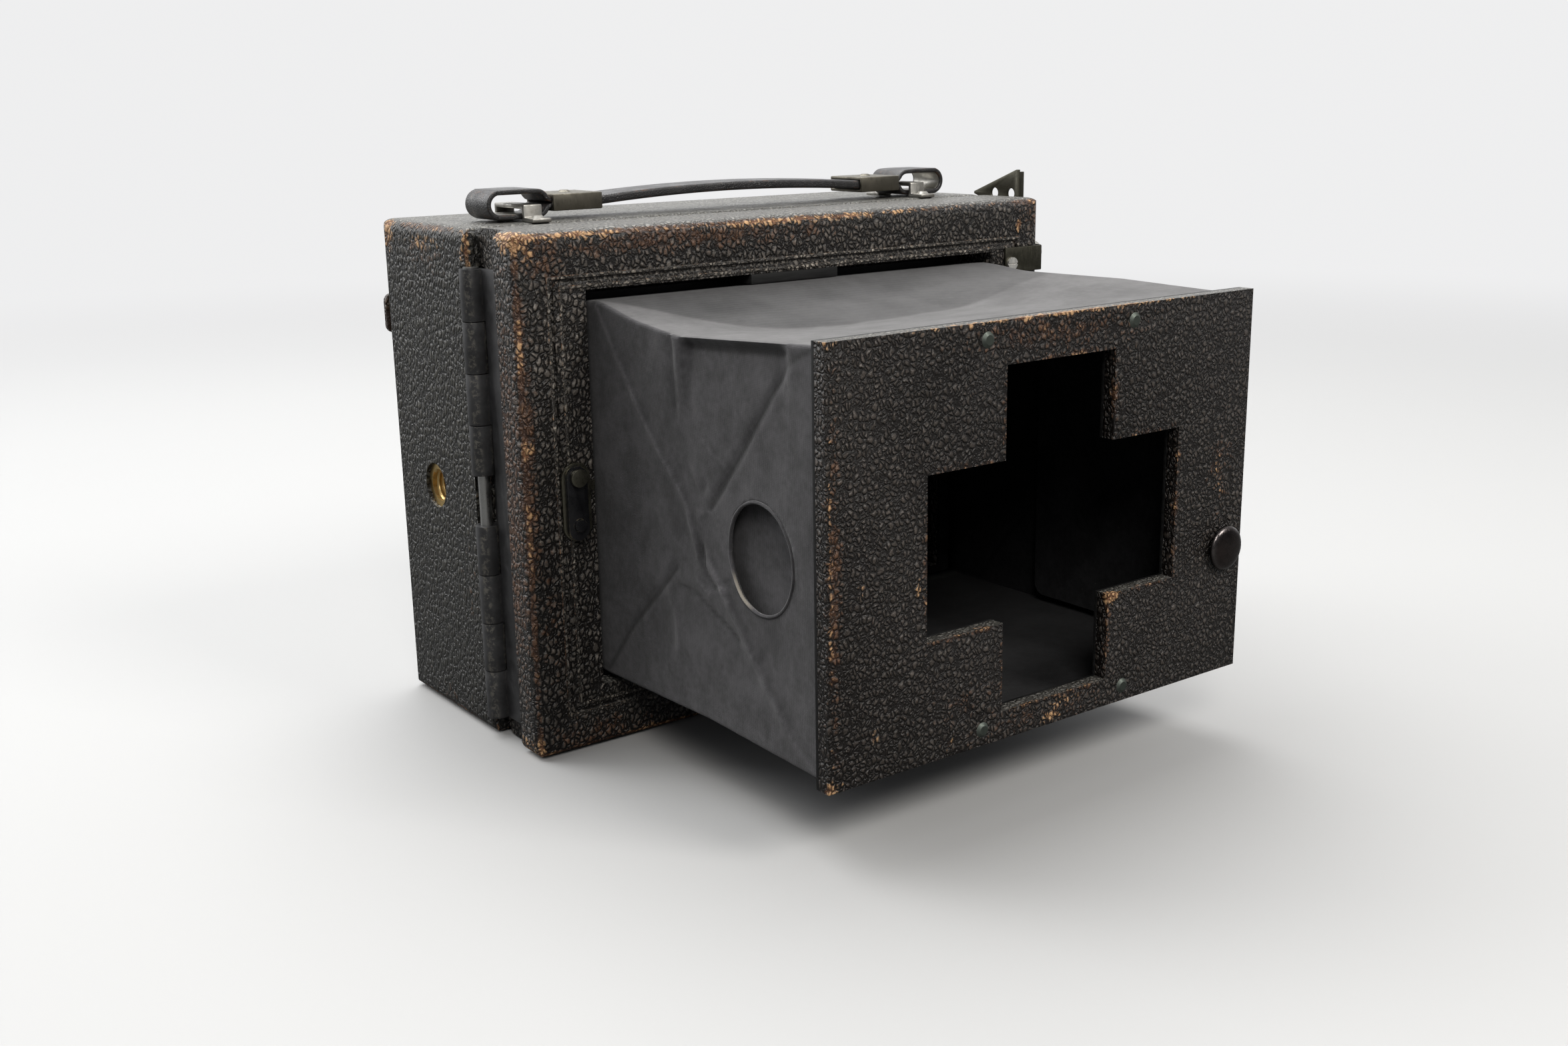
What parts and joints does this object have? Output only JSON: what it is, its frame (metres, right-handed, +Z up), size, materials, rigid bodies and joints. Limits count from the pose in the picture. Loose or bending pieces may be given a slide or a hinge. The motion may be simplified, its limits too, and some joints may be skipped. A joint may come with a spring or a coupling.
{
  "type": "folding plate camera",
  "caption": "Leather-covered folding plate camera with a hinged back, a focusing hood whose board has a cross-shaped opening, and a strut-folding lens board.",
  "frame": {"origin": "mouth of the threaded hole in the middle of the base of the main box", "axes": "+X along the camera to the right as seen from the hood, +Y from the hood towards the lens, +Z up"},
  "size_m": [0.1719, 0.1806, 0.1306],
  "materials": {
    "leather": "coarse pebbled, worn at the edges",
    "strap": "smooth, dark",
    "cloth": "matte creased cloth",
    "black_wood": "blackened",
    "black_metal": "satin black lacquer",
    "nickel": "dull nickel",
    "steel": "bare",
    "brass": "aged",
    "dark_brass": "darkened",
    "glass": "ground or clear"
  },
  "bodies": {
    "camera_body": {"body_box": "leather", "front_trim": "nickel", "side_tripod_bush": "brass", "base_tripod_bush": "brass", "box_hinge_leaf": "black_metal", "hinge_pin": "steel", "staple_left": "nickel", "staple_right": "nickel", "staple_screws": "nickel", "latch_keeper": "brass", "plate_frame": "black_metal", "plate_rails": "brass", "shutter_panel": "black_wood", "shutter_blind": "cloth", "wall_bushes": "brass", "strut_brackets": "brass", "bellows": "strap"},
    "back_door": {"door_case": "leather", "door_hinge_leaf": "black_metal", "ground_glass": "glass", "glass_frame": "dark_brass", "glass_screws": "brass", "hood_clamp": "black_metal", "hood_top_clip": "black_metal", "catch_base": "brass", "latch_plate": "dark_brass", "latch_screw": "nickel", "sight_base": "dark_brass", "hood_cloth": "cloth"},
    "catch": {"catch_arm": "black_metal"},
    "back_bolt": {"latch_bolt": "nickel"},
    "peep_sight": {"sight_leaf": "dark_brass"},
    "hood": {"hood_board": "leather", "board_backing": "black_wood", "board_rivets": "dark_brass", "flap_brackets": "black_metal"},
    "hood_left_flap": {"left_flap": "black_wood"},
    "hood_right_flap": {"right_flap": "black_wood"},
    "turn_knob": {"board_knob": "nickel", "knob_tongue": "brass"},
    "handle": {"handle_strap": "strap", "handle_loop_left": "strap", "handle_loop_right": "strap", "handle_sleeves": "dark_brass"},
    "front": {"front_board": "leather", "lens_flange": "brass", "lens_barrel": "brass", "front_glass": "glass", "rear_glass": "glass", "iris_plate": "black_metal"},
    "iris_ring": {"aperture_ring": "brass"},
    "left_strut_pair": {"left_struts": "nickel", "strut_spindles_left": "nickel"},
    "right_strut_pair": {"right_struts": "nickel", "strut_spindles_right": "nickel"},
    "winding_roller": {"winding_knob": "nickel"},
    "tension_roller": {"tension_knob": "nickel"},
    "release": {"release_button": "nickel"},
    "board_catch": {"front_catch": "leather"}
  },
  "joints": [
    {"name": "back_door_hinge", "type": "hinge", "parent": "camera_body", "child": "back_door", "pos_m": [-0.0795, -0.02365, 0.0595], "axis": [0, 0, -1], "range_deg": [0, 160]},
    {"name": "hood_slide", "type": "slide", "parent": "back_door", "child": "hood", "axis": [0, 1, 0], "range_m": [0, 0.0867], "deforming": ["hood_cloth"]},
    {"name": "left_flap_fold", "type": "hinge", "parent": "hood", "child": "hood_left_flap", "pos_m": [-0.0561, -0.1265, 0.0616], "axis": [0, 0, -1], "range_deg": [0, 90]},
    {"name": "right_flap_fold", "type": "hinge", "parent": "hood", "child": "hood_right_flap", "pos_m": [0.0561, -0.1265, 0.0616], "axis": [0, 0, 1], "range_deg": [0, 90]},
    {"name": "board_knob_turn", "type": "hinge", "parent": "hood", "child": "turn_knob", "pos_m": [0.0553, -0.1323, 0.0469], "axis": [0, -1, 0], "range_deg": [0, 90]},
    {"name": "catch_swing", "type": "hinge", "parent": "back_door", "child": "catch", "pos_m": [-0.0681, -0.0476, 0.06735], "axis": [0, -1, 0], "range_deg": [0, 22]},
    {"name": "latch_slide", "type": "slide", "parent": "back_door", "child": "back_bolt", "axis": [0, 1, 0], "range_m": [0, 0.006]},
    {"name": "sight_fold", "type": "hinge", "parent": "back_door", "child": "peep_sight", "pos_m": [0.08205, -0.0305, 0.119], "axis": [0, 1, 0], "range_deg": [0, 140]},
    {"name": "handle_lift", "type": "slide", "parent": "camera_body", "child": "handle", "axis": [0, 0, 1], "range_m": [0, 0.001]},
    {"name": "front_slide", "type": "slide", "parent": "camera_body", "child": "front", "axis": [0, 1, 0], "range_m": [0, 0.075], "deforming": ["bellows"]},
    {"name": "left_strut_swing", "type": "hinge", "parent": "camera_body", "child": "left_strut_pair", "pos_m": [-0.066, 0.01525, 0.0615], "axis": [0, 0, 1], "range_deg": [0, 37]},
    {"name": "right_strut_swing", "type": "hinge", "parent": "camera_body", "child": "right_strut_pair", "pos_m": [0.066, 0.01525, 0.0615], "axis": [0, 0, -1], "range_deg": [0, 37]},
    {"name": "aperture_turn", "type": "hinge", "parent": "front", "child": "iris_ring", "pos_m": [0, 0.03265, 0.0615], "axis": [0, 1, 0], "range_deg": [0, 90]},
    {"name": "winding_turn", "type": "hinge", "parent": "camera_body", "child": "winding_roller", "pos_m": [0.0817, -0.007, 0.11], "axis": [1, 0, 0], "continuous": true},
    {"name": "tension_turn", "type": "hinge", "parent": "camera_body", "child": "tension_roller", "pos_m": [0.0817, -0.007, 0.013], "axis": [1, 0, 0], "range_deg": [0, 270]},
    {"name": "release_press", "type": "slide", "parent": "camera_body", "child": "release", "axis": [-1, 0, 0], "range_m": [0, 0.0016], "stiffness_N_per_m": 300},
    {"name": "front_catch_press", "type": "slide", "parent": "camera_body", "child": "board_catch", "axis": [0, -1, 0], "range_m": [0, 0.0012], "stiffness_N_per_m": 300}
  ],
  "couplings": [
    {"joint": "left_flap_fold", "follows": "hood_slide", "rad_per_m": 18},
    {"joint": "right_flap_fold", "follows": "hood_slide", "rad_per_m": 18},
    {"joint": "left_strut_swing", "follows": "front_slide", "rad_per_m": 8.58},
    {"joint": "right_strut_swing", "follows": "front_slide", "rad_per_m": 8.58}
  ]
}
